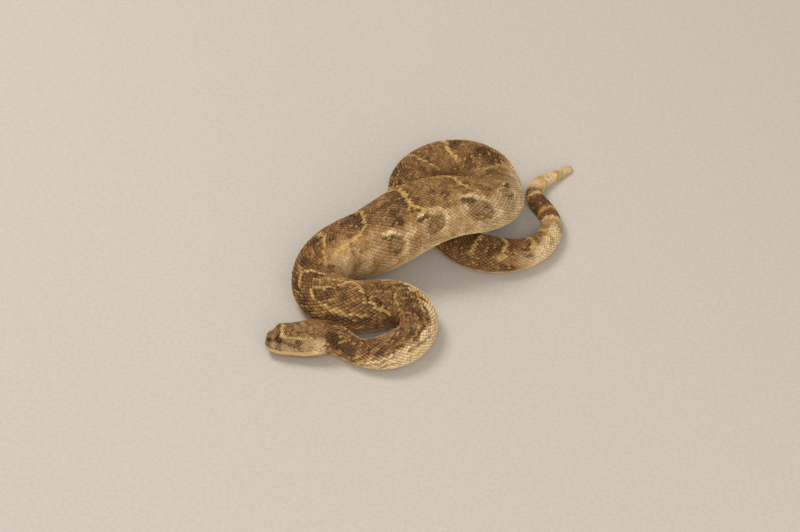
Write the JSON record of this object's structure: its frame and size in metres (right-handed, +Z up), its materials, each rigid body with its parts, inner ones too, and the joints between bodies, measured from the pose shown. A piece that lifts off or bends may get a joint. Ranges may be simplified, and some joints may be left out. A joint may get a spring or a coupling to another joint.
{
  "type": "puff adder, coiled, still model",
  "caption": "Life-size still model of a puff adder at rest, loosely coiled on flat ground with its mid-body lying over its hind body.",
  "frame": {"origin": "centre of the underside of the bounding box, on the ground", "axes": "+Z up from the ground, -X the way the head points, +Y to the head's right-hand side, where the coil and the tail lie"},
  "size_m": [0.2661, 0.2782, 0.0746],
  "materials": {
    "head_scales": "dry matt scales, tan with brown blotches",
    "jaw_scales": "dry smooth scales, cream",
    "body_scales": "dry keeled scales, tan with dark brown patches and pale yellow chevrons",
    "tail_scales": "dry keeled scales, banded dark brown and pale yellow",
    "eye": "wet gloss, dark brown with an upright slit pupil"
  },
  "bodies": {
    "root": {"head": "head_scales", "lower_jaw": "jaw_scales", "eye_left": "eye", "eye_right": "eye", "neck": "body_scales", "body_01": "body_scales", "body_02": "body_scales", "body_03": "body_scales", "body_04": "body_scales", "body_05": "body_scales", "body_06": "body_scales", "body_07": "body_scales", "body_08": "body_scales", "body_09": "body_scales", "body_10": "body_scales", "body_11": "body_scales", "body_12": "body_scales", "tail": "tail_scales"}
  },
  "joints": []
}
